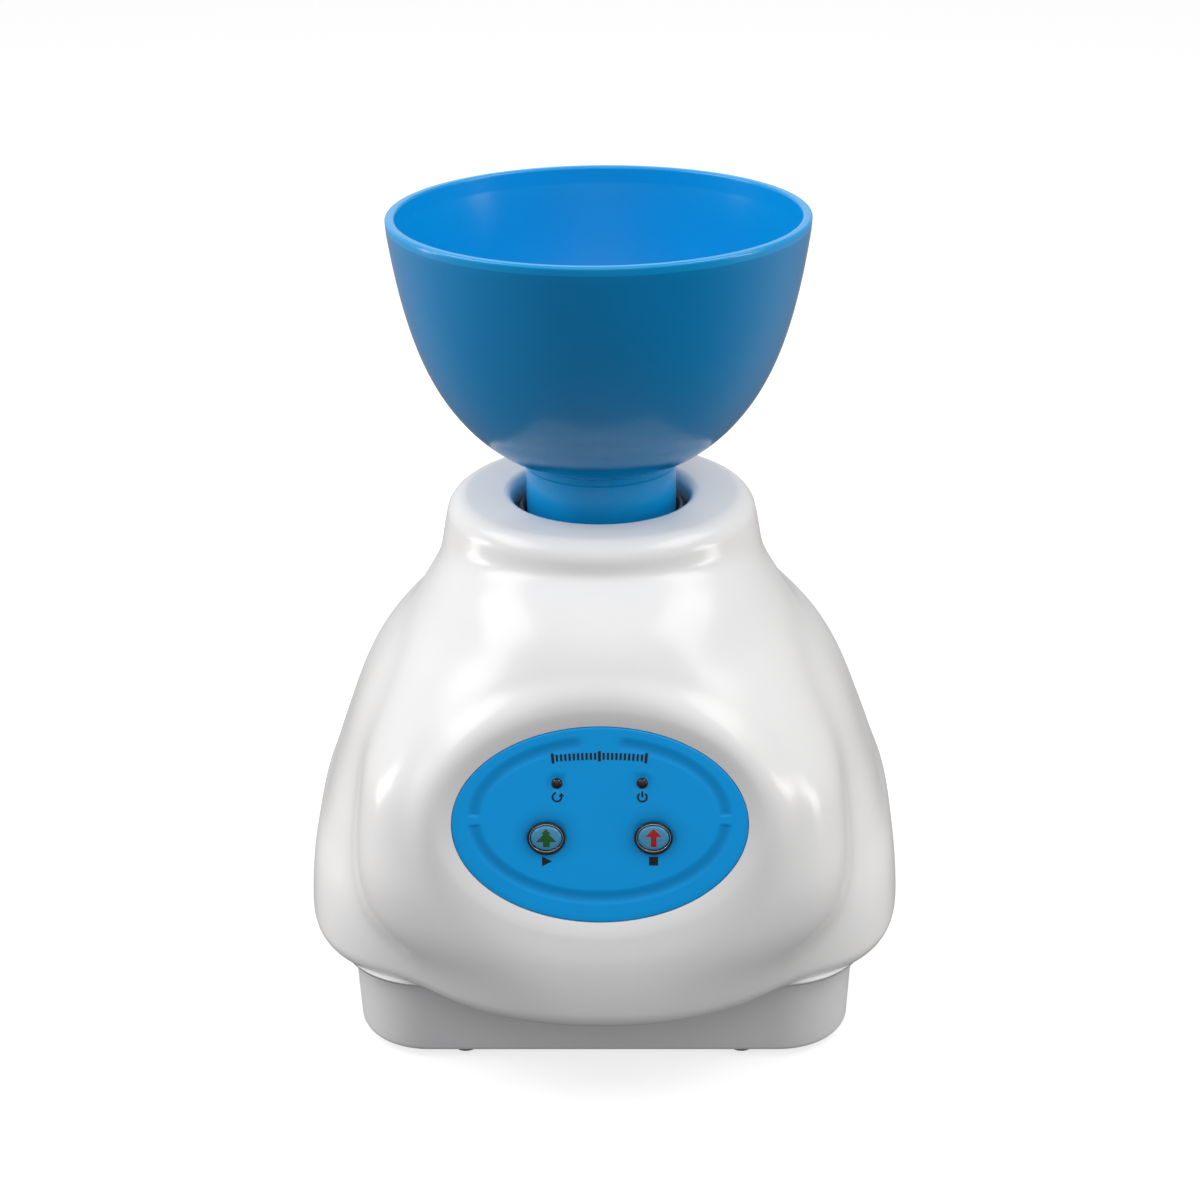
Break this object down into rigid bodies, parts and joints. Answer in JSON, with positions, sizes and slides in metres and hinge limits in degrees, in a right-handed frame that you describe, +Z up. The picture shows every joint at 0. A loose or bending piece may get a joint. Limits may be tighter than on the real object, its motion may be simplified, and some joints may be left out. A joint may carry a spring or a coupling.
{
  "type": "dental impression mixer",
  "caption": "Bench mixer for dental impression material: belt-driven spindle spins a flexible bowl in a bell-shaped casing with an oval key panel.",
  "frame": {"origin": "on the spindle axis, on the surface that the feet stand on", "axes": "+Z up along the spindle; -Y towards the user and the key panel; +X to the user's right"},
  "size_m": [0.1998, 0.2023, 0.258],
  "materials": {
    "white_abs": "glossy white moulded plastic",
    "base_abs": "satin white moulded plastic",
    "bowl_rubber": "smooth flexible blue rubber, satin",
    "panel_blue": "satin blue overlay",
    "black_plastic": "black moulded plastic",
    "black_rubber": "black rubber",
    "grey_rubber": "grey rubber",
    "button_clear": "clear blue domed cap",
    "lamp_dark": "dark indicator lens, unlit",
    "steel": "ground steel",
    "zinc_steel": "zinc-plated steel",
    "cast_alu": "machined aluminium",
    "brass": "plain brass",
    "copper": "enamelled copper wire",
    "magnet": "ferrite",
    "pcb": "green circuit board",
    "glass_fuse": "clear glass",
    "coil_tape": "yellow tape"
  },
  "bodies": {
    "housing": {"upper_shell": "white_abs", "lower_base": "base_abs", "rubber_feet": "grey_rubber", "case_screws": "zinc_steel", "well_seal": "black_rubber", "bearing_housing": "cast_alu", "housing_screws": "zinc_steel", "lower_bearing_outer_race": "steel", "upper_bearing_outer_race": "steel", "chassis_plate": "zinc_steel", "chassis_grommets": "black_rubber", "chassis_screws": "zinc_steel", "motor_front_cap": "cast_alu", "motor_can": "zinc_steel", "motor_rear_cap": "cast_alu", "motor_bushes": "brass", "motor_magnets": "magnet", "motor_brushes": "magnet", "motor_screws": "zinc_steel", "drive_belt": "black_rubber", "control_panel": "panel_blue", "start_bezel": "black_plastic", "stop_bezel": "black_plastic", "running_lamp": "lamp_dark", "power_lamp": "lamp_dark", "tact_switches": "black_plastic", "control_board": "pcb", "board_standoffs": "brass", "board_screws": "zinc_steel", "board_components": "black_plastic", "transformer_core": "steel", "transformer_coil": "coil_tape", "mains_inlet": "black_plastic", "inlet_pins": "brass", "inlet_screws": "zinc_steel", "power_switch_frame": "black_plastic"},
    "spindle": {"spindle_shaft": "steel", "shaft_circlip": "steel", "spindle_spacers": "cast_alu", "spindle_pulley": "cast_alu", "pulley_setscrew": "steel", "bowl_holder": "black_plastic", "holder_grip_ring": "black_rubber", "holder_setscrew": "steel", "lower_bearing_inner_race": "steel", "upper_bearing_inner_race": "steel", "bearing_balls": "steel"},
    "bowl": {"mixing_bowl": "bowl_rubber"},
    "rotor": {"motor_shaft": "steel", "motor_rotor": "steel", "rotor_windings": "copper", "commutator": "copper", "motor_pulley": "cast_alu"},
    "start_key": {"start_button": "button_clear", "start_plunger": "black_plastic"},
    "stop_key": {"stop_button": "button_clear", "stop_plunger": "black_plastic"},
    "fuse_holder": {"fuse_drawer": "black_plastic", "fuse": "glass_fuse"},
    "rocker": {"power_switch_rocker": "black_plastic"}
  },
  "joints": [
    {"name": "spindle_spin", "type": "hinge", "parent": "housing", "child": "spindle", "pos_m": [0, 0, 0.09], "axis": [0, 0, 1], "continuous": true},
    {"name": "motor_spin", "type": "hinge", "parent": "housing", "child": "rotor", "pos_m": [-0.032, 0.038, 0.08], "axis": [0, 0, 1], "continuous": true},
    {"name": "bowl_lift", "type": "slide", "parent": "spindle", "child": "bowl", "axis": [0, 0, 1], "range_m": [0, 0.04]},
    {"name": "start_press", "type": "slide", "parent": "housing", "child": "start_key", "axis": [0, 0.9659, -0.2588], "range_m": [0, 0.0012], "stiffness_N_per_m": 400, "springref_m": -0.0015},
    {"name": "stop_press", "type": "slide", "parent": "housing", "child": "stop_key", "axis": [0, 0.9659, -0.2588], "range_m": [0, 0.0012], "stiffness_N_per_m": 400, "springref_m": -0.0015},
    {"name": "power_rocker", "type": "hinge", "parent": "housing", "child": "rocker", "pos_m": [-0.024, 0.09, 0.05], "axis": [1, 0, 0], "range_deg": [-20, 0]},
    {"name": "fuse_slide", "type": "slide", "parent": "housing", "child": "fuse_holder", "axis": [0, 1, 0], "range_m": [0, 0.018]}
  ],
  "couplings": [
    {"joint": "motor_spin", "follows": "spindle_spin", "ratio": 2.7273}
  ]
}
